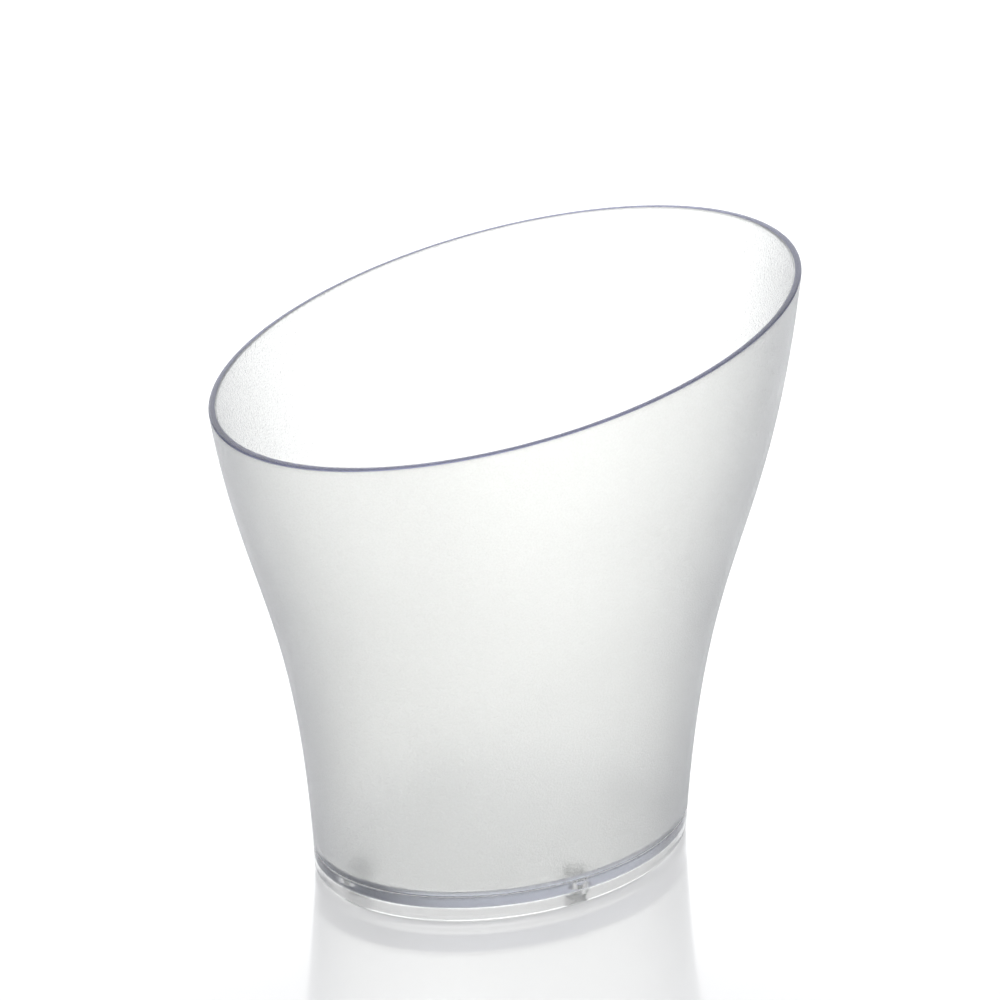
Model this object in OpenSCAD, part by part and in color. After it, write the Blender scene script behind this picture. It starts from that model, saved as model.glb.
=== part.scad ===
// Table-top champagne bucket: an oval flared wall of frosted clear plastic with a
// slanted rim, seated on a clear base moulding that stands on four push-in feet.
// +X points to the high side of the rim, +Z up, origin on the table under the middle of
// the whole outline, which lies a little to the high side of the middle of the base.

/* [Wall] */
// Outside length of the oval at the table
base_length = 188; // [160:1:220]
// Width of every horizontal section as a share of its length
oval_ratio = 0.755; // [0.65:0.005:0.9]
// Outside length of the oval where the flare ends, above the cut rim
flare_length = 292; // [260:1:320]
// Height at which the flare ends, above the highest point of the rim
flare_height = 287; // [285:1:310]
// How far the lower handle of the flare curve stands out from the foot
lower_lean = 8; // [0:1:12]
// Height of the lower handle, which keeps the wall near upright
lower_hold = 162; // [130:1:180]
// How far the upper handle of the flare curve stands in from the flare's end
upper_lean = 12; // [4:1:20]
// Height of the upper handle, which sets where the flare turns up again
upper_hold = 143; // [120:1:170]
// Thickness of the wall at the ends of the oval, measured level
wall_thickness = 4; // [3:0.1:5]
// Number of steps along the flare curve
flare_steps = 20; // [12:2:40]

/* [Rim] */
// Height of the rim plane over the centre of the base
rim_height = 258; // [230:1:260]
// Slope of the rim plane, rising towards +X
rim_tilt = 9.8; // [0:0.2:10]

/* [Base] */
// Height of the seam where the wall sits on the base
seam_height = 14; // [12:0.5:16]
// Height of the raised floor above the seam, which centres the wall
floor_step = 2; // [1:0.5:4]
// Thickness of the floor slab
floor_thickness = 9; // [7:0.5:10]
// Gap filled with clear cement between the raised floor and the wall
cement_gap = 0.1; // [0.05:0.05:0.3]
// Radius of the round along the bottom edge, measured at the ends of the oval
edge_round = 3; // [1:0.5:4]
// Thickness of the skirt at the ends of the oval, measured level
skirt_thickness = 6; // [4:0.2:8]
// Gap between the skirt and the table
skirt_gap = 0.8; // [0.4:0.1:1.5]

/* [Feet] */
// Diameter of each foot pad
foot_diameter = 10; // [8:0.5:14]
// Height of each foot pad below its boss
foot_pad_height = 3; // [2:0.5:4]
// Diameter of the stem that pushes into the boss
stem_diameter = 4; // [3:0.5:5]
// Length of the stem
stem_length = 4.5; // [3:0.5:6]
// Diameter of the boss around each stem
boss_diameter = 12; // [10:0.5:16]
// Space between a foot boss and the inside of the skirt
foot_inset = 4; // [3:0.5:8]

/* [Hidden] */
$fn = 96;
stem_hole_spare = 0.5;
foot_edge = 0.8;
round_steps = 5;
cut_size = 2 * flare_length;

base_radius = base_length / 2;
flare_radius = flare_length / 2;
floor_height = seam_height + floor_step;
slab_underside = floor_height - floor_thickness;
foot_ring_inset = skirt_thickness + foot_inset + boss_diameter / 2;

// One coordinate of a cubic Bezier curve at parameter t.
function bezier(p0, p1, p2, p3, t) =
    pow(1 - t, 3) * p0 + 3 * pow(1 - t, 2) * t * p1 + 3 * (1 - t) * t * t * p2 + pow(t, 3) * p3;

// Radius and height of the outside along +X, at parameter t of the flare curve.
function flare_x(t) =
    bezier(base_radius, base_radius + lower_lean, flare_radius - upper_lean, flare_radius, t);
function flare_z(t) = bezier(0, lower_hold, upper_hold, flare_height, t);

// Parameter t at which the flare curve passes height z, by halving the interval.
function flare_t(z, low = 0, high = 1, rounds = 24) =
    let (middle = (low + high) / 2)
    rounds == 0 ? middle
    : flare_z(middle) < z ? flare_t(z, middle, high, rounds - 1)
    : flare_t(z, low, middle, rounds - 1);

function outer_radius(z) = flare_x(flare_t(z));

// Height at which the rim plane meets the outside, at the high end (side 1) or low end (-1).
function rim_end_height(side, z = rim_height, rounds = 30) =
    rounds == 0 ? z
    : rim_end_height(side, (z + rim_height + side * tan(rim_tilt) * outer_radius(z)) / 2,
                     rounds - 1);

// How far the middle of the whole outline lies from the middle of the base.
outline_shift =
    (outer_radius(rim_end_height(1)) - outer_radius(rim_end_height(-1))) / 2;

// Moves what is drawn round the middle of the base into the part's own frame.
module from_base_middle() {
    translate([-outline_shift, 0, 0])
        children();
}

// Points of the flare curve from height z_low up to its end, moved in by the inset.
function flare_points(z_low, inset) =
    let (t_low = flare_t(z_low))
    [for (i = [0 : flare_steps])
        let (t = t_low + (1 - t_low) * i / flare_steps)
        [flare_x(t) - inset, i == 0 ? z_low : flare_z(t)]];

function reversed(points) = [for (i = [len(points) - 1 : -1 : 0]) points[i]];

// Solid with oval level sections, turned from a half profile of [radius, height] points.
module oval_solid(profile) {
    scale([1, oval_ratio, 1])
        rotate_extrude()
            polygon(profile);
}

// Everything above the slanted plane of the rim.
module above_rim() {
    translate([0, 0, rim_height])
        rotate([0, -rim_tilt, 0])
            translate([-cut_size / 2, -cut_size / 2, 0])
                cube(cut_size);
}

// The wall is turned round, cut along the rim, and then narrowed to an oval, so it is as
// thick as stated at the ends of the oval and thinner at its sides.
module bucket_wall() {
    color([0.90, 0.92, 0.94, 0.55])
        from_base_middle()
            scale([1, oval_ratio, 1])
                difference() {
                    rotate_extrude()
                        polygon(concat(flare_points(seam_height, 0),
                                       reversed(flare_points(seam_height, wall_thickness))));
                    above_rim();
                }
}

// Where foot number index stands: one at each end of the base oval's two axes.
function foot_place(index) =
    [cos(90 * index) * (base_radius - foot_ring_inset),
     sin(90 * index) * (base_radius - foot_ring_inset) * oval_ratio, 0];

// Points of a quarter round from the bottom of an edge up to its side.
function edge_points(radius, low) =
    [for (i = [0 : round_steps])
        let (angle = 90 * i / round_steps)
        [radius - edge_round * (1 - sin(angle)), low + edge_round * (1 - cos(angle))]];

module base_plate() {
    seam_radius = outer_radius(seam_height);
    side_radius = outer_radius(skirt_gap + edge_round);
    step_radius = seam_radius - wall_thickness - cement_gap;
    recess_radius = side_radius - skirt_thickness;
    color([0.86, 0.89, 0.93, 0.5])
        from_base_middle()
            difference() {
                union() {
                    oval_solid(concat([[0, slab_underside],
                                       [recess_radius, slab_underside],
                                       [recess_radius, skirt_gap]],
                                      edge_points(side_radius, skirt_gap),
                                      [[seam_radius, seam_height],
                                       [step_radius, seam_height],
                                       [step_radius, floor_height],
                                       [0, floor_height]]));
                    for (index = [0 : 3])
                        translate(foot_place(index) + [0, 0, foot_pad_height])
                            cylinder(h = slab_underside - foot_pad_height + 1, d = boss_diameter);
                }
                for (index = [0 : 3])
                    translate(foot_place(index) + [0, 0, foot_pad_height - 1])
                        cylinder(h = stem_length + stem_hole_spare + 1, d = stem_diameter);
            }
}

// Soft foot: a pad with an eased bottom edge and a stem that pushes into its boss.
module foot(index) {
    radius = foot_diameter / 2;
    color([0.80, 0.82, 0.84, 0.7])
        from_base_middle()
            translate(foot_place(index))
                rotate_extrude()
                    polygon([[0, 0], [radius - foot_edge, 0], [radius, foot_edge],
                             [radius, foot_pad_height], [stem_diameter / 2, foot_pad_height],
                             [stem_diameter / 2, foot_pad_height + stem_length],
                             [0, foot_pad_height + stem_length]]);
}

module foot_right() { foot(0); }
module foot_back() { foot(1); }
module foot_left() { foot(2); }
module foot_front() { foot(3); }

bucket_wall();
base_plate();
foot_right();
foot_back();
foot_left();
foot_front();
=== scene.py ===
"""Champagne bucket: an oval frosted wall on a clear base moulding with four push-in feet."""

import logging
import math
from dataclasses import dataclass
from enum import Enum
from functools import cached_property
from typing import Callable, Iterable, Sequence

import bmesh
import bpy
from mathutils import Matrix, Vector


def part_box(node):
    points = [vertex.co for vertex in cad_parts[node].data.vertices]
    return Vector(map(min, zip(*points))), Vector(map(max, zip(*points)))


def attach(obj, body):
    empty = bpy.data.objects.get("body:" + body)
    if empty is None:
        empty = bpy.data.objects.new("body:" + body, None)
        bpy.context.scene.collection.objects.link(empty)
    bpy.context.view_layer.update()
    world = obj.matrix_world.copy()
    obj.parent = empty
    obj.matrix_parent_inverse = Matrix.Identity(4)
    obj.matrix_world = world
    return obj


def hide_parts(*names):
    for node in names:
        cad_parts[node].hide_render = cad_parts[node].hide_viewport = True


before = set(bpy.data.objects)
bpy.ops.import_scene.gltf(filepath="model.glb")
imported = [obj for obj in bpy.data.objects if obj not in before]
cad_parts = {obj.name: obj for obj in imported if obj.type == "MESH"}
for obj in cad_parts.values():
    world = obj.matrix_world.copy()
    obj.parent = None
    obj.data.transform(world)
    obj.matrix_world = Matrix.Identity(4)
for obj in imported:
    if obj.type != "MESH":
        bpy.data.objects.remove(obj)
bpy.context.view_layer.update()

LOG = logging.getLogger("champagne_bucket")
MM = 0.001
FROST_MASK = "frost"
RIM_MASK = "rim"
# Height of a foot's pad, under its stem.
PAD_HEIGHT = 3 * MM
# Points closer than this are welded after a cut.
WELD = 0.003 * MM
# Rounds of the search for a height on the flare curve, and of that for the rim's height.
HALVINGS = 40
RIM_PASSES = 30
# Sockets of the colour mix node, which repeats its socket names for each kind of data.
MIX_FIRST, MIX_SECOND, MIX_RESULT = 6, 7, 2

Point = tuple[float, float]
Place = tuple[float, float, float]
Placer = Callable[[float, float, float], Place]


# --------------------------------------------------------------------------------------
# Helpers for colour, nodes and meshes
# --------------------------------------------------------------------------------------


def linear(hex_colour: str) -> tuple[float, float, float, float]:
    """Turns an sRGB hex colour into linear light.

    Args:
        hex_colour: Six hex digits with a leading hash.

    Returns:
        Linear red, green and blue, and an alpha of 1.
    """
    channels = []
    for start in (1, 3, 5):
        value = int(hex_colour[start : start + 2], 16) / 255
        if value <= 0.04045:
            channels.append(value / 12.92)
        else:
            channels.append(((value + 0.055) / 1.055) ** 2.4)
    return channels[0], channels[1], channels[2], 1.0


def add_node(
    tree: bpy.types.NodeTree,
    kind: str,
    settings: dict[str, object] | None = None,
    values: dict[str, object] | None = None,
    links: dict[str, bpy.types.NodeSocket] | None = None,
) -> bpy.types.Node:
    """Adds one shader node with its settings, constant inputs and links.

    Args:
        tree: The node tree to add to.
        kind: Blender's type name of the node.
        settings: Attributes of the node, by name.
        values: Constant values of inputs, by socket name.
        links: Output sockets that feed inputs, by the input's name.

    Returns:
        The new node.
    """
    node = tree.nodes.new(kind)
    for name, value in (settings or {}).items():
        setattr(node, name, value)
    for name, value in (values or {}).items():
        node.inputs[name].default_value = value
    for name, socket in (links or {}).items():
        tree.links.new(socket, node.inputs[name])
    return node


def empty_material(name: str) -> tuple[bpy.types.Material, bpy.types.NodeTree]:
    """Makes a node-based material with no nodes in it.

    Args:
        name: Name of the material.

    Returns:
        The material and its node tree.
    """
    material = bpy.data.materials.new(name)
    material.use_nodes = True
    material.node_tree.nodes.clear()
    return material, material.node_tree


def add_noise(
    tree: bpy.types.NodeTree, place: bpy.types.NodeSocket, size: float, **values: float
) -> bpy.types.NodeSocket:
    """Adds a noise pattern with features of a real size.

    Args:
        tree: The node tree to add to.
        place: Position socket, in metres.
        size: Size of the pattern's features, in metres.
        **values: Further inputs of the noise, such as Detail.

    Returns:
        The pattern, from 0 to 1.
    """
    node = add_node(
        tree, "ShaderNodeTexNoise", values={"Scale": 1 / size, **values}, links={"Vector": place}
    )
    return node.outputs["Fac"]


def add_range(
    tree: bpy.types.NodeTree,
    value: bpy.types.NodeSocket,
    source: Point,
    target: Point,
    smooth: bool = False,
) -> bpy.types.NodeSocket:
    """Maps one range of a value onto another.

    Args:
        tree: The node tree to add to.
        value: The value to map.
        source: Start and end of its range.
        target: What they become.
        smooth: True for a soft start and end.

    Returns:
        The mapped value.
    """
    node = add_node(
        tree,
        "ShaderNodeMapRange",
        settings={"interpolation_type": "SMOOTHSTEP" if smooth else "LINEAR"},
        values={
            "From Min": source[0],
            "From Max": source[1],
            "To Min": target[0],
            "To Max": target[1],
        },
        links={"Value": value},
    )
    return node.outputs["Result"]


def add_mix(
    tree: bpy.types.NodeTree,
    factor: bpy.types.NodeSocket,
    first: str | bpy.types.NodeSocket,
    second: str | bpy.types.NodeSocket,
) -> bpy.types.NodeSocket:
    """Blends two colours.

    Args:
        tree: The node tree to add to.
        factor: 0 for the first colour, 1 for the second.
        first: Hex colour or colour socket.
        second: Hex colour or colour socket.

    Returns:
        The blended colour.
    """
    node = add_node(tree, "ShaderNodeMix", {"data_type": "RGBA"}, links={"Factor": factor})
    for index, colour in ((MIX_FIRST, first), (MIX_SECOND, second)):
        if isinstance(colour, str):
            node.inputs[index].default_value = linear(colour)
        else:
            tree.links.new(colour, node.inputs[index])
    return node.outputs[MIX_RESULT]


@dataclass
class Corner:
    """One corner of a turned outline, eased by a round."""

    radius: float
    height: float
    round_radius: float = 0.0


def ease_corner(
    before: Vector, corner: Vector, after: Vector, size: float, steps: int
) -> list[Vector]:
    """Rounds a corner between two straight runs.

    Args:
        before: The point that the first run comes from.
        corner: The sharp corner.
        after: The point that the second run goes to.
        size: How far from the corner the round starts and ends.
        steps: Number of steps along the round.

    Returns:
        Points along the round, from the first run to the second.
    """
    inward = (before - corner).normalized() * size
    onward = (after - corner).normalized() * size
    points = []
    for step in range(steps + 1):
        angle = math.pi / 2 * step / steps
        points.append(corner + inward * (1 - math.sin(angle)) + onward * (1 - math.cos(angle)))
    return points


def between(start: Vector, end: Vector, hold: float) -> list[Vector]:
    """Adds two holding points near the ends of a straight run, so that shading stays flat.

    Args:
        start: Where the run starts.
        end: Where it ends.
        hold: Distance of each holding point from its end.

    Returns:
        The two holding points, or none on a run that is too short for them.
    """
    length = (end - start).length
    if length < 3 * hold:
        return []
    way = (end - start) / length
    return [start + way * hold, end - way * hold]


def turned_outline(corners: Sequence[Corner], steps: int = 6, hold: float = 0.4 * MM) -> list[Point]:
    """Turns a list of corners into an outline with rounds and holding points.

    Args:
        corners: The corners in order.
        steps: Number of steps along each round.
        hold: Distance of the holding points from the rounds.

    Returns:
        Points of radius and height.
    """
    sharp = [Vector((corner.radius, corner.height)) for corner in corners]
    outline: list[Vector] = []
    for index, corner in enumerate(corners):
        here = sharp[index]
        is_end = index in (0, len(corners) - 1)
        if is_end or corner.round_radius == 0:
            stretch = [here]
        else:
            stretch = ease_corner(sharp[index - 1], here, sharp[index + 1], corner.round_radius, steps)
        if outline:
            outline.extend(between(outline[-1], stretch[0], hold))
        outline.extend(stretch)
    return [(point.x, point.y) for point in outline]


class MeshDraft:
    """Collects rings of points and the faces between them, and makes an object of them."""

    def __init__(self) -> None:
        """Starts with no points."""
        self.points: list[Place] = []
        self.faces: list[tuple[int, ...]] = []

    def ring(self, points: Iterable[Place]) -> list[int]:
        """Adds points.

        Args:
            points: The points, in order.

        Returns:
            Their indices.
        """
        first = len(self.points)
        self.points.extend(points)
        return list(range(first, len(self.points)))

    def bridge(self, low: Sequence[int], high: Sequence[int]) -> None:
        """Joins two closed rings of equal length with four-sided faces.

        Args:
            low: Indices of the first ring.
            high: Indices of the second ring.
        """
        count = len(low)
        for index in range(count):
            following = (index + 1) % count
            self.faces.append((low[index], low[following], high[following], high[index]))

    def cap(self, ring: Sequence[int], centre: int) -> None:
        """Closes a ring with a fan of triangles round one point.

        Args:
            ring: Indices of the ring.
            centre: Index of the middle point.
        """
        count = len(ring)
        for index in range(count):
            self.faces.append((ring[index], ring[(index + 1) % count], centre))

    def turn(self, outline: Sequence[Point], place: Placer, sides: int) -> None:
        """Turns an outline that starts and ends on the axis into a closed solid.

        Args:
            outline: Points of radius and height.
            place: Turns a direction, radius and height into a point of the frame.
            sides: Number of steps round the solid.
        """
        angles = [2 * math.pi * side / sides for side in range(sides)]
        rings = [self.ring(place(angle, *point) for angle in angles) for point in outline[1:-1]]
        for low, high in zip(rings, rings[1:]):
            self.bridge(low, high)
        for ring, (_, height) in ((rings[0], outline[0]), (rings[-1], outline[-1])):
            self.cap(ring, self.ring([place(0.0, 0.0, height)])[0])

    def build(self, name: str, material: bpy.types.Material) -> bpy.types.Object:
        """Makes a smooth shaded object with outward normals.

        Args:
            name: Name of the piece.
            material: Its material.

        Returns:
            The new object, linked to the scene.
        """
        mesh = bpy.data.meshes.new(name)
        mesh.from_pydata(self.points, [], self.faces)
        mesh.materials.append(material)
        sculpt = bmesh.new()
        sculpt.from_mesh(mesh)
        bmesh.ops.recalc_face_normals(sculpt, faces=sculpt.faces)
        if sculpt.calc_volume(signed=True) < 0:
            bmesh.ops.reverse_faces(sculpt, faces=sculpt.faces)
        sculpt.to_mesh(mesh)
        sculpt.free()
        mesh.shade_smooth()
        piece = bpy.data.objects.new(name, mesh)
        bpy.context.scene.collection.objects.link(piece)
        return piece


# --------------------------------------------------------------------------------------
# Finishes
# --------------------------------------------------------------------------------------


@dataclass(frozen=True)
class StyrenePlastic:
    """Clear styrene acrylonitrile, the moulding plastic of the wall and the base.

    The plastic itself is nearly clear with a cool cast, which only shows where the eye looks
    along it: at the outline of the wall and into the rim and the base.
    """

    ior: float = 1.57
    cast: str = "#B7BBC8"
    cast_density: float = 34.0

    def absorb(self, tree: bpy.types.NodeTree, output: bpy.types.Node) -> None:
        """Gives the inside of the plastic its cool cast.

        Args:
            tree: The node tree of the material.
            output: Its output node.
        """
        inside = add_node(
            tree,
            "ShaderNodeVolumeAbsorption",
            values={"Color": linear(self.cast), "Density": self.cast_density},
        )
        tree.links.new(inside.outputs["Volume"], output.inputs["Volume"])


@dataclass(frozen=True)
class WallStyrene:
    """Styrene plastic moulded frosted outside and polished inside and along the rim.

    Outside, the mould was blasted: the eye gets soft milky light with a faint grain. The
    polished faces keep a gloss. One material holds both, so that light meets the same plastic
    wherever it enters or leaves.

    Blasting pits are taken as about 0.1 mm across. The grain is drawn nine times as coarse, so
    that it still shows.
    """

    plastic: StyrenePlastic = StyrenePlastic()
    frost_roughness: float = 0.33
    frost_drift: float = 0.03
    drift_size: float = 60 * MM
    drift_contrast: Point = (0.3, 0.7)
    polish_roughness: float = 0.06
    rim_roughness: float = 0.22
    grain: float = 0.9 * MM
    grain_depth: float = 0.2 * MM
    grain_contrast: Point = (0.35, 0.65)
    tint: str = "#FFFFFC"
    shade: str = "#F5F5F2"
    # Painted shade: this blue-violet colour stands in for the dark, tinted look that the cut edge takes
    # from the dim room above it and from the long view down through the plastic. The rim is the same
    # plastic as the rest of the wall.
    rim_painted_shade: str = "#8C90D6"

    def build(self) -> bpy.types.Material:
        """Makes the material.

        Returns:
            The new material.
        """
        material, tree = empty_material("blasted_and_polished_styrene")
        output = add_node(tree, "ShaderNodeOutputMaterial")
        place = add_node(tree, "ShaderNodeTexCoord").outputs["Object"]
        frost = add_node(tree, "ShaderNodeAttribute", {"attribute_name": FROST_MASK}).outputs["Fac"]
        rim = add_node(tree, "ShaderNodeAttribute", {"attribute_name": RIM_MASK}).outputs["Fac"]
        grain = add_noise(tree, place, self.grain, Detail=2.0, Roughness=0.6)
        pits = add_node(
            tree,
            "ShaderNodeBump",
            values={"Distance": self.grain_depth},
            links={"Height": grain, "Strength": frost},
        )
        surface = add_node(
            tree,
            "ShaderNodeBsdfPrincipled",
            values={"IOR": self.plastic.ior, "Transmission Weight": 1.0},
            links={
                "Base Color": self.colour(tree, grain, rim),
                "Roughness": self.roughness(tree, place, frost, rim),
                "Normal": pits.outputs["Normal"],
            },
        )
        tree.links.new(surface.outputs["BSDF"], output.inputs["Surface"])
        self.plastic.absorb(tree, output)
        return material

    def colour(
        self, tree: bpy.types.NodeTree, grain: bpy.types.NodeSocket, rim: bpy.types.NodeSocket
    ) -> bpy.types.NodeSocket:
        """Varies the wall's colour with the grain, and paints blue-violet shade on the rim.

        Args:
            tree: The node tree to add to.
            grain: The grain pattern.
            rim: 1 on the rim, 0 elsewhere.

        Returns:
            The colour.
        """
        spread = add_range(tree, grain, self.grain_contrast, (0.0, 1.0))
        # The rim's blue-violet colour is painted shade: it stands in for the dark look that the cut
        # edge takes from the dim room and the depth of the plastic.
        return add_mix(tree, rim, add_mix(tree, spread, self.shade, self.tint), self.rim_painted_shade)

    def roughness(
        self,
        tree: bpy.types.NodeTree,
        place: bpy.types.NodeSocket,
        frost: bpy.types.NodeSocket,
        rim: bpy.types.NodeSocket,
    ) -> bpy.types.NodeSocket:
        """Makes the outside rough with slow drifts, the inside smooth and the rim satin.

        Args:
            tree: The node tree to add to.
            place: Position socket.
            frost: 1 on the frosted outside, 0 elsewhere.
            rim: 1 on the rim, 0 elsewhere.

        Returns:
            The roughness.
        """
        drift = add_noise(tree, place, self.drift_size, Detail=3.0)
        low, high = self.frost_roughness - self.frost_drift, self.frost_roughness + self.frost_drift
        blasted = add_range(tree, drift, self.drift_contrast, (low, high))
        gloss = add_range(tree, rim, (0.0, 1.0), (self.polish_roughness, self.rim_roughness))
        rough = add_node(
            tree, "ShaderNodeMapRange", links={"Value": frost, "To Min": gloss, "To Max": blasted}
        )
        return rough.outputs["Result"]


@dataclass(frozen=True)
class PolishedStyrene:
    """Styrene plastic moulded against a face that was polished only lightly.

    The eye gets a clear band with a soft gloss, faint flow lines from the moulding and fine
    scuffs. Light crosses the base in many short ways, so its cast is thinner than the wall's.
    """

    plastic: StyrenePlastic = StyrenePlastic(cast_density=11.0)
    colour: str = "#FDFDFC"
    roughness: float = 0.18
    scuff_roughness: float = 0.05
    scuff_size: float = 3 * MM
    scuff_contrast: Point = (0.45, 0.75)
    flow_size: float = 14 * MM
    flow_depth: float = 0.02 * MM
    flow_strength: float = 0.3

    def build(self) -> bpy.types.Material:
        """Makes the material.

        Returns:
            The new material.
        """
        material, tree = empty_material("polished_styrene_base")
        output = add_node(tree, "ShaderNodeOutputMaterial")
        place = add_node(tree, "ShaderNodeTexCoord").outputs["Object"]
        flow = add_noise(tree, place, self.flow_size, Detail=2.0)
        scuffs = add_noise(tree, place, self.scuff_size, Detail=4.0, Roughness=0.7)
        worst = self.roughness + self.scuff_roughness
        rough = add_range(tree, scuffs, self.scuff_contrast, (self.roughness, worst))
        ripple = add_node(
            tree,
            "ShaderNodeBump",
            values={"Strength": self.flow_strength, "Distance": self.flow_depth},
            links={"Height": flow},
        )
        surface = add_node(
            tree,
            "ShaderNodeBsdfPrincipled",
            values={
                "Base Color": linear(self.colour),
                "IOR": self.plastic.ior,
                "Transmission Weight": 1.0,
            },
            links={"Roughness": rough, "Normal": ripple.outputs["Normal"]},
        )
        tree.links.new(surface.outputs["BSDF"], output.inputs["Surface"])
        self.plastic.absorb(tree, output)
        return material


@dataclass(frozen=True)
class SoftVinyl:
    """Clear plasticised vinyl, moulded satin, as push-in bumper feet are made of.

    The eye gets a hazy, slightly milky little pad.
    """

    colour: str = "#E9EAEA"
    roughness: float = 0.3
    haze_roughness: float = 0.08
    haze_size: float = 1.5 * MM
    dimple_depth: float = 0.02 * MM
    dimple_strength: float = 0.3
    clearness: float = 0.7
    ior: float = 1.52

    def build(self) -> bpy.types.Material:
        """Makes the material.

        Returns:
            The new material.
        """
        material, tree = empty_material("satin_clear_vinyl")
        output = add_node(tree, "ShaderNodeOutputMaterial")
        place = add_node(tree, "ShaderNodeTexCoord").outputs["Object"]
        haze = add_noise(tree, place, self.haze_size, Detail=3.0)
        low, high = self.roughness - self.haze_roughness, self.roughness + self.haze_roughness
        rough = add_range(tree, haze, (0.0, 1.0), (low, high))
        dimple = add_node(
            tree,
            "ShaderNodeBump",
            values={"Strength": self.dimple_strength, "Distance": self.dimple_depth},
            links={"Height": haze},
        )
        surface = add_node(
            tree,
            "ShaderNodeBsdfPrincipled",
            values={
                "Base Color": linear(self.colour),
                "IOR": self.ior,
                "Transmission Weight": self.clearness,
            },
            links={"Roughness": rough, "Normal": dimple.outputs["Normal"]},
        )
        tree.links.new(surface.outputs["BSDF"], output.inputs["Surface"])
        return material


@dataclass(frozen=True)
class GlossAcrylic:
    """Polished white acrylic sheet lit from below, which makes the table.

    The eye gets a clean mirror of the bucket over a white that has no horizon.
    """

    colour: str = "#A8A8A9"
    roughness: float = 0.08
    # Higher than real acrylic's 1.49, for a stronger reflection on the lit sheet.
    ior: float = 2.4
    glow: float = 0.34

    def build(self) -> bpy.types.Material:
        """Makes the material.

        Returns:
            The new material.
        """
        material, tree = empty_material("gloss_white_acrylic_sheet")
        output = add_node(tree, "ShaderNodeOutputMaterial")
        surface = add_node(
            tree,
            "ShaderNodeBsdfPrincipled",
            values={
                "Base Color": linear(self.colour),
                "Roughness": self.roughness,
                "IOR": self.ior,
                "Emission Color": linear("#FFFFFF"),
                "Emission Strength": self.glow,
            },
        )
        tree.links.new(surface.outputs["BSDF"], output.inputs["Surface"])
        return material


# --------------------------------------------------------------------------------------
# Shape of the bucket
# --------------------------------------------------------------------------------------


@dataclass(frozen=True)
class BucketShape:
    """Driving sizes of the bucket, in metres, measured round the middle of its base."""

    base_radius: float = 94 * MM
    oval_ratio: float = 0.755
    lower_lean: float = 8 * MM
    lower_hold: float = 162 * MM
    upper_lean: float = 12 * MM
    upper_hold: float = 143 * MM
    flare_radius: float = 146 * MM
    flare_height: float = 287 * MM
    wall_thickness: float = 4 * MM
    rim_height: float = 258 * MM
    rim_tilt: float = math.radians(9.8)

    @cached_property
    def middle_x(self) -> float:
        """Where the middle of the base lies in the frame."""
        low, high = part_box("base_plate")
        return (low[0] + high[0]) / 2

    @cached_property
    def seam_height(self) -> float:
        """Height of the seam between base and wall."""
        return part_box("bucket_wall")[0][2]

    def curve(self, t: float) -> Point:
        """Radius and height of the outside at parameter t of the flare curve.

        Args:
            t: From 0 at the table to 1 at the flare's end.

        Returns:
            Radius along the long axis, and height.
        """
        weights = ((1 - t) ** 3, 3 * (1 - t) ** 2 * t, 3 * (1 - t) * t * t, t**3)
        radii = (
            self.base_radius,
            self.base_radius + self.lower_lean,
            self.flare_radius - self.upper_lean,
            self.flare_radius,
        )
        heights = (0.0, self.lower_hold, self.upper_hold, self.flare_height)
        radius = sum(w * r for w, r in zip(weights, radii))
        height = sum(w * h for w, h in zip(weights, heights))
        return radius, height

    def radius(self, height: float) -> float:
        """Radius of the outside along the long axis at a height.

        Args:
            height: Height above the table.

        Returns:
            The radius.
        """
        low, high = 0.0, 1.0
        for _ in range(HALVINGS):
            middle = (low + high) / 2
            if self.curve(middle)[1] < height:
                low = middle
            else:
                high = middle
        return self.curve(low)[0]

    def rim_at(self, angle: float, inset: float) -> float:
        """Height of the slanted rim plane where it meets a face of the wall.

        Args:
            angle: Direction round the oval, from the high end.
            inset: How far the face lies inside the outer face.

        Returns:
            The height.
        """
        slope = math.tan(self.rim_tilt)
        height = self.rim_height
        for _ in range(RIM_PASSES):
            reach = (self.radius(height) - inset) * math.cos(angle)
            height = (height + self.rim_height + slope * reach) / 2
        return height

    def place(self, angle: float, radius: float, height: float) -> Place:
        """Turns a direction, radius and height into a point of the frame.

        Args:
            angle: Direction round the oval, from the high end.
            radius: Radius along the long axis.
            height: Height above the table.

        Returns:
            The point.
        """
        return (
            self.middle_x + radius * math.cos(angle),
            radius * math.sin(angle) * self.oval_ratio,
            height,
        )


# --------------------------------------------------------------------------------------
# Sub-assemblies
# --------------------------------------------------------------------------------------


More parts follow.
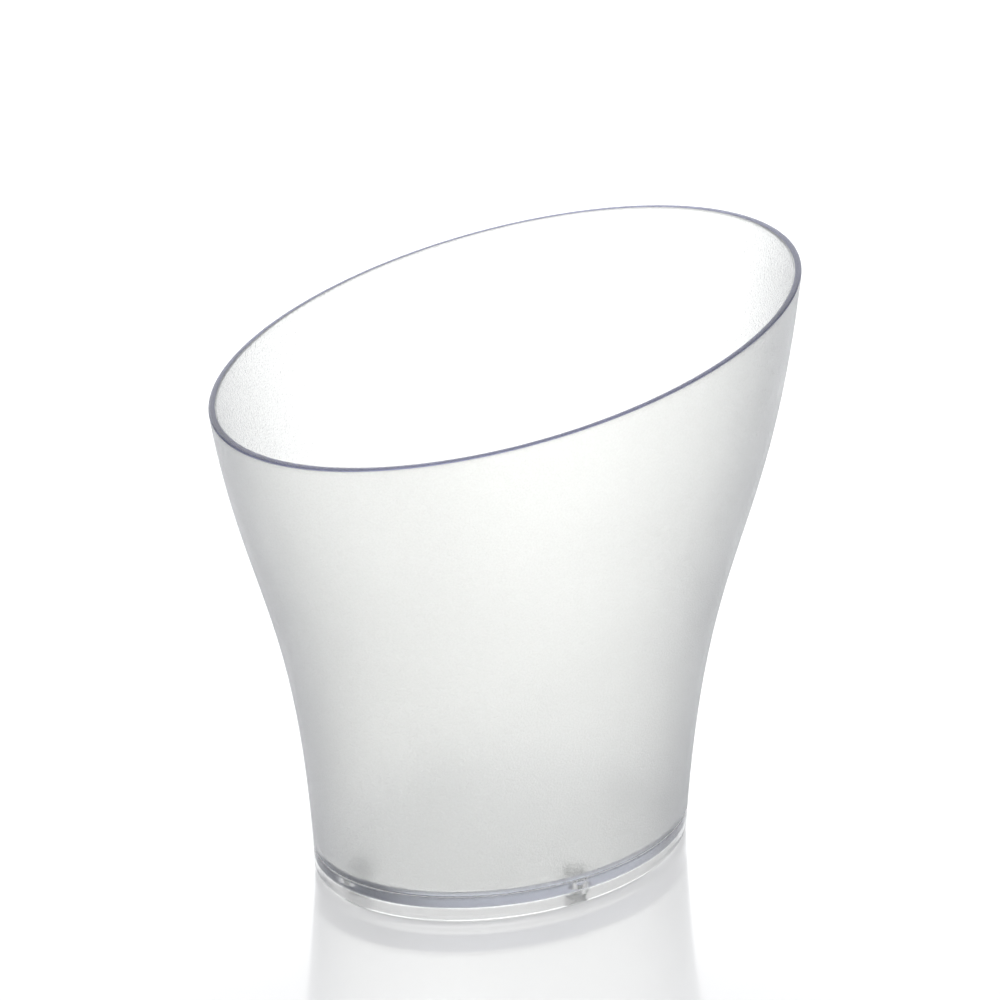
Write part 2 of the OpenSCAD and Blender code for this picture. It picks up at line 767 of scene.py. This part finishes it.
@dataclass
class FrostedWall:
    """The flared oval wall: frosted outside, polished inside and along the rim."""

    shape: BucketShape
    finish: WallStyrene = WallStyrene()
    sides: int = 320
    body_steps: int = 56
    lip_steps: int = 7
    outer_lip: float = 1.0 * MM
    inner_lip: float = 0.8 * MM
    seam_edge: float = 0.9 * MM
    seam_steps: int = 3
    seam_gap: float = 0.12 * MM
    # How strongly the steps up a face crowd toward its ends, from 0 to 1.
    crowding: float = 0.35

    def section(self, angle: float) -> tuple[list[Vector], list[Point]]:
        """Outline of the wall cut in one direction, as a closed loop.

        Args:
            angle: Direction round the oval, from the high end.

        Returns:
            Points of radius and height, and the frost and rim masks at each of them.
        """
        shape = self.shape
        bottom = shape.seam_height + self.seam_gap
        outer_top = shape.rim_at(angle, 0.0)
        inner_top = shape.rim_at(angle, shape.wall_thickness)
        outer_corner = Vector((shape.radius(outer_top), outer_top))
        inner_corner = Vector((shape.radius(inner_top) - shape.wall_thickness, inner_top))
        outer = self.face(bottom + self.seam_edge, outer_top - self.outer_lip, 0.0)
        inner = self.face(bottom + self.seam_edge, inner_top - self.inner_lip, shape.wall_thickness)
        lip = ease_corner(outer[-1], outer_corner, inner_corner, self.outer_lip, self.lip_steps)
        lip += ease_corner(outer_corner, inner_corner, inner[-1], self.inner_lip, self.lip_steps)
        foot_out = Vector((shape.radius(bottom), bottom))
        foot_in = Vector((shape.radius(bottom) - shape.wall_thickness, bottom))
        foot = ease_corner(inner[0], foot_in, foot_out, self.seam_edge, self.seam_steps)
        foot += ease_corner(foot_in, foot_out, outer[0], self.seam_edge, self.seam_steps)[:-1]
        points = outer[:-1] + lip + list(reversed(inner[1:-1])) + foot
        frosted = len(outer) - 1 + self.lip_steps // 2
        rim_end = len(outer) + 1 + self.lip_steps
        masks = [
            (float(index < frosted), float(frosted <= index < rim_end)) for index in range(len(points))
        ]
        return points, masks

    def face(self, low: float, high: float, inset: float) -> list[Vector]:
        """Points up one face of the wall, closer together near its ends.

        Args:
            low: Lowest height.
            high: Highest height.
            inset: How far the face lies inside the outer face.

        Returns:
            Points of radius and height.
        """
        points = []
        for step in range(self.body_steps + 1):
            share = (1 - math.cos(math.pi * step / self.body_steps)) / 2
            even = step / self.body_steps
            mixed = self.crowding * share + (1 - self.crowding) * even
            height = low + (high - low) * mixed
            points.append(Vector((self.shape.radius(height) - inset, height)))
        return points

    def build(self) -> bpy.types.Object:
        """Builds and dresses the wall.

        Returns:
            The finished piece.
        """
        draft = MeshDraft()
        columns = []
        masks: list[Point] = []
        for side in range(self.sides):
            angle = 2 * math.pi * side / self.sides
            points, masks = self.section(angle)
            columns.append([self.shape.place(angle, point.x, point.y) for point in points])
        rings = [draft.ring(column[level] for column in columns) for level in range(len(masks))]
        for level, ring in enumerate(rings):
            draft.bridge(ring, rings[(level + 1) % len(rings)])
        piece = draft.build("frosted_wall", self.finish.build())
        for index, name in enumerate((FROST_MASK, RIM_MASK)):
            mask = piece.data.attributes.new(name, "FLOAT", "POINT")
            mask.data.foreach_set("value", [level[index] for level in masks for _ in range(self.sides)])
        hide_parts("bucket_wall")
        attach(piece, "root")
        return piece


class FootPlace(Enum):
    """The four places of a foot."""

    RIGHT = "foot_right"
    BACK = "foot_back"
    LEFT = "foot_left"
    FRONT = "foot_front"

    @property
    def middle(self) -> Point:
        """Where the middle of the foot lies in the frame."""
        low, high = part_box(self.value)
        return (low[0] + high[0]) / 2, (low[1] + high[1]) / 2

    def round_about(self) -> Placer:
        """Gives the function that places points round the foot's own axis.

        Returns:
            A function of a direction, radius and height.
        """
        middle_x, middle_y = self.middle

        def place(angle: float, radius: float, height: float) -> Place:
            """Places one point."""
            return middle_x + radius * math.cos(angle), middle_y + radius * math.sin(angle), height

        return place


class Joining(Enum):
    """What a tool does to a piece."""

    ADD = "UNION"
    CUT = "DIFFERENCE"


def combine(piece: bpy.types.Object, tool: bpy.types.Object, joining: Joining) -> None:
    """Joins a tool to a piece or cuts it out of it, and removes the tool.

    Args:
        piece: The piece to change.
        tool: The solid to join or cut.
        joining: Whether the tool adds or cuts.
    """
    modifier = piece.modifiers.new(joining.name.lower(), "BOOLEAN")
    modifier.operation = joining.value
    modifier.solver = "EXACT"
    modifier.object = tool
    graph = bpy.context.evaluated_depsgraph_get()
    mesh = bpy.data.meshes.new_from_object(piece.evaluated_get(graph))
    sculpt = bmesh.new()
    sculpt.from_mesh(mesh)
    # Cutting leaves edges shorter than an exported file can tell apart. Welding them keeps
    # the solid closed.
    bmesh.ops.remove_doubles(sculpt, verts=sculpt.verts, dist=WELD)
    bmesh.ops.dissolve_degenerate(sculpt, dist=WELD, edges=sculpt.edges)
    bmesh.ops.triangulate(sculpt, faces=[face for face in sculpt.faces if len(face.verts) > 4])
    sculpt.to_mesh(mesh)
    sculpt.free()
    piece.modifiers.clear()
    piece.data = mesh
    bpy.data.objects.remove(tool)


@dataclass
class BaseMoulding:
    """The clear base: a thick floor on a skirt, with a boss for each foot."""

    shape: BucketShape
    sides: int = 320
    skirt_thickness: float = 6 * MM
    floor_thickness: float = 9 * MM
    edge_round: float = 3 * MM
    cement_gap: float = 0.15 * MM
    boss_radius: float = 6 * MM
    boss_gap: float = 0.1 * MM
    hole_radius: float = 2.1 * MM
    hole_spare: float = 0.5 * MM
    post_sides: int = 48
    recess_round: float = 1.0 * MM
    skirt_round: float = 0.8 * MM
    seam_round: float = 0.9 * MM
    floor_round: float = 0.6 * MM
    boss_round: float = 0.5 * MM
    small_round: float = 0.2 * MM
    boss_round_steps: int = 4
    boss_hold: float = 0.15 * MM
    crease_angle: float = math.radians(32)
    finish: PolishedStyrene = PolishedStyrene()

    def outline(self) -> list[Point]:
        """Half outline of the base, from the middle of its underside to that of its floor.

        Returns:
            Points of radius and height.
        """
        low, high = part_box("base_plate")
        bottom, top = low[2], high[2]
        seam = self.shape.seam_height
        side = self.shape.radius(bottom + self.edge_round)
        seam_radius = self.shape.radius(seam)
        step = seam_radius - self.shape.wall_thickness - self.cement_gap
        recess = side - self.skirt_thickness
        under = top - self.floor_thickness
        return turned_outline(
            [
                Corner(0.0, under),
                Corner(recess, under, self.recess_round),
                Corner(recess, bottom, self.skirt_round),
                Corner(side, bottom, self.edge_round),
                Corner(seam_radius, seam, self.seam_round),
                Corner(step, seam, self.small_round),
                Corner(step, top, self.floor_round),
                Corner(0.0, top),
            ]
        )

    def boss_outline(self) -> list[Point]:
        """Half outline of a boss, which runs up into the floor.

        Returns:
            Points of radius and height.
        """
        bottom = PAD_HEIGHT + self.boss_gap
        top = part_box("base_plate")[1][2] - self.floor_thickness / 2
        return turned_outline(
            [
                Corner(0.0, bottom),
                Corner(self.boss_radius, bottom, self.boss_round),
                Corner(self.boss_radius, top, self.small_round),
                Corner(0.0, top),
            ],
            steps=self.boss_round_steps,
            hold=self.boss_hold,
        )

    def hole_outline(self) -> list[Point]:
        """Half outline of the hole for a stem.

        Returns:
            Points of radius and height.
        """
        bottom = PAD_HEIGHT - self.hole_spare
        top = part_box(FootPlace.FRONT.value)[1][2] + self.hole_spare
        return [
            (0.0, bottom),
            (self.hole_radius, bottom),
            (self.hole_radius, top),
            (0.0, top),
        ]

    def posts(self, outline: list[Point], material: bpy.types.Material) -> bpy.types.Object:
        """Makes the same turned solid over each foot.

        Args:
            outline: Its half outline.
            material: Its material.

        Returns:
            One object that holds the four solids.
        """
        draft = MeshDraft()
        for foot in FootPlace:
            draft.turn(outline, foot.round_about(), self.post_sides)
        return draft.build("post", material)

    def build(self) -> bpy.types.Object:
        """Builds and dresses the base.

        Returns:
            The finished piece.
        """
        material = self.finish.build()
        draft = MeshDraft()
        draft.turn(self.outline(), self.shape.place, self.sides)
        piece = draft.build("clear_base", material)
        combine(piece, self.posts(self.boss_outline(), material), Joining.ADD)
        combine(piece, self.posts(self.hole_outline(), material), Joining.CUT)
        piece.data.shade_smooth()
        piece.data.set_sharp_from_angle(angle=self.crease_angle)
        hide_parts("base_plate")
        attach(piece, "root")
        return piece


@dataclass
class PushInFoot:
    """A soft pad with a stem that pushes into its boss."""

    place: FootPlace
    material: bpy.types.Material
    stem_radius: float = 1.95 * MM
    sole_round: float = 1.0 * MM
    pad_round: float = 0.3 * MM
    stem_root: float = 0.2 * MM
    stem_round: float = 0.5 * MM
    round_steps: int = 5
    hold: float = 0.15 * MM
    sides: int = 48

    def build(self) -> bpy.types.Object:
        """Builds and dresses the foot.

        Returns:
            The finished piece.
        """
        low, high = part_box(self.place.value)
        radius = (high[0] - low[0]) / 2
        pad_top = low[2] + PAD_HEIGHT
        outline = turned_outline(
            [
                Corner(0.0, low[2]),
                Corner(radius, low[2], self.sole_round),
                Corner(radius, pad_top, self.pad_round),
                Corner(self.stem_radius, pad_top, self.stem_root),
                Corner(self.stem_radius, high[2], self.stem_round),
                Corner(0.0, high[2]),
            ],
            steps=self.round_steps,
            hold=self.hold,
        )
        draft = MeshDraft()
        draft.turn(outline, self.place.round_about(), self.sides)
        piece = draft.build(f"vinyl_{self.place.value}", self.material)
        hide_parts(self.place.value)
        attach(piece, "root")
        return piece


# --------------------------------------------------------------------------------------
# Studio
# --------------------------------------------------------------------------------------


@dataclass
class Studio:
    """A glossy white table, soft lights and the camera."""

    shape: BucketShape
    # The camera: how far it is turned and tilted, how far off it stands, and what it aims at.
    turn: float = math.radians(33.55)
    tilt: float = math.radians(22.91)
    distance: float = 1.7875
    lens: float = 141.07
    sensor: float = 36.0
    sight: Point = (0.05, 30.0)
    aim_side: float = -1.16 * MM
    aim_height: float = 176.6 * MM
    # The table lies just under the feet, so that no two faces coincide.
    clearance: float = 0.05 * MM
    table_reach: float = 4.0
    table_finish: GlossAcrylic = GlossAcrylic()
    # The room glows little near the horizon and strongly overhead. Heights are those of a
    # direction of length 1.
    glow_heights: Point = (0.1, 0.6)
    glow_strengths: Point = (0.03, 1.1)
    sky_colour: str = "#FAFBFC"
    # Two bright panels, behind the bucket and behind the camera, stop below the direction
    # that the rim mirrors, so that the rim stays dark against them.
    panel_sides: Point = (0.6, 0.92)
    panel_top: Point = (0.42, 0.54)
    panel_glow: float = 2.45
    softbox_place: Place = (0.2, 0.3, 1.9)
    softbox_size: float = 1.8
    softbox_power: float = 6.0
    softbox_aim: Place = (0.0, 0.0, 0.12)
    # Light passes many frosted faces before it leaves the plastic.
    bounces: int = 32

    def table(self) -> None:
        """Lays the glossy white table."""
        mesh = bpy.data.meshes.new("table")
        reach = self.table_reach
        corners = ((-reach, -reach), (reach, -reach), (reach, reach), (-reach, reach))
        mesh.from_pydata([(x, y, -self.clearance) for x, y in corners], [], [(0, 1, 2, 3)])
        mesh.materials.append(self.table_finish.build())
        table = bpy.data.objects.new("table", mesh)
        bpy.context.scene.collection.objects.link(table)

    def softbox(self) -> None:
        """Hangs one soft square lamp overhead."""
        light = bpy.data.lights.new("overhead_softbox", "AREA")
        light.shape = "SQUARE"
        light.size = self.softbox_size
        light.energy = self.softbox_power
        lamp = bpy.data.objects.new("overhead_softbox", light)
        lamp.location = self.softbox_place
        aim = Vector(self.softbox_aim) - Vector(self.softbox_place)
        lamp.rotation_euler = aim.to_track_quat("-Z", "Y").to_euler()
        bpy.context.scene.collection.objects.link(lamp)

    def panels(
        self, tree: bpy.types.NodeTree, place: bpy.types.NodeSocket, height: bpy.types.NodeSocket
    ) -> tuple[bpy.types.NodeSocket, bpy.types.NodeSocket]:
        """Makes the two bright panels of the room.

        Args:
            tree: The node tree of the room.
            place: Direction socket.
            height: Its height.

        Returns:
            The panels' brightness by side, and a mask that ends them at their top.
        """
        behind = add_node(tree, "ShaderNodeVectorMath", {"operation": "DOT_PRODUCT"})
        tree.links.new(place, behind.inputs[0])
        behind.inputs[1].default_value = (math.sin(self.turn), math.cos(self.turn), 0.0)
        side = add_node(tree, "ShaderNodeMath", {"operation": "ABSOLUTE"})
        tree.links.new(behind.outputs["Value"], side.inputs[0])
        panel = add_range(
            tree, side.outputs["Value"], self.panel_sides, (0.0, self.panel_glow), smooth=True
        )
        return panel, add_range(tree, height, self.panel_top, (1.0, 0.0), smooth=True)

    def lights(self) -> None:
        """Sets the glowing room and the lamp."""
        world = bpy.data.worlds.new("soft_white_room")
        bpy.context.scene.world = world
        world.use_nodes = True
        tree = world.node_tree
        tree.nodes.clear()
        output = add_node(tree, "ShaderNodeOutputWorld")
        place = add_node(tree, "ShaderNodeTexCoord").outputs["Generated"]
        height = add_node(tree, "ShaderNodeSeparateXYZ", links={"Vector": place}).outputs["Z"]
        glow = add_range(tree, height, self.glow_heights, self.glow_strengths, smooth=True)
        panel, panel_mask = self.panels(tree, place, height)
        total = add_node(tree, "ShaderNodeMath", {"operation": "MULTIPLY_ADD"})
        for index, socket in enumerate((panel, panel_mask, glow)):
            tree.links.new(socket, total.inputs[index])
        sky = add_node(
            tree,
            "ShaderNodeBackground",
            values={"Color": linear(self.sky_colour)},
            links={"Strength": total.outputs["Value"]},
        )
        tree.links.new(sky.outputs["Background"], output.inputs["Surface"])
        self.softbox()

    def camera(self) -> None:
        """Sets the camera."""
        right = Vector((math.cos(self.turn), -math.sin(self.turn), 0))
        away = Vector((math.sin(self.turn), math.cos(self.turn), 0))
        ahead = away * math.cos(self.tilt) - Vector((0, 0, math.sin(self.tilt)))
        middle = Vector((self.shape.middle_x, 0, self.aim_height))
        aim = middle + right * self.aim_side
        lens = bpy.data.cameras.new("camera")
        lens.lens = self.lens
        lens.sensor_width = self.sensor
        lens.clip_start, lens.clip_end = self.sight
        camera = bpy.data.objects.new("camera", lens)
        camera.location = aim - ahead * self.distance
        camera.rotation_euler = ahead.to_track_quat("-Z", "Y").to_euler()
        bpy.context.scene.collection.objects.link(camera)
        bpy.context.scene.camera = camera

    def build(self) -> None:
        """Builds the whole studio."""
        self.table()
        self.lights()
        self.camera()
        scene = bpy.context.scene
        scene.view_settings.view_transform = "Standard"
        scene.cycles.max_bounces = self.bounces
        scene.cycles.glossy_bounces = self.bounces
        scene.cycles.transmission_bounces = self.bounces


def main() -> None:
    """Builds the bucket and the studio."""
    logging.basicConfig(level=logging.INFO, format="%(name)s: %(message)s")
    shape = BucketShape()
    Studio(shape).build()
    pieces = [FrostedWall(shape).build(), BaseMoulding(shape).build()]
    vinyl = SoftVinyl().build()
    pieces += [PushInFoot(place, vinyl).build() for place in FootPlace]
    for piece in pieces:
        LOG.info("%s: %d faces", piece.name, len(piece.data.polygons))


if __name__ == "__main__":
    main()
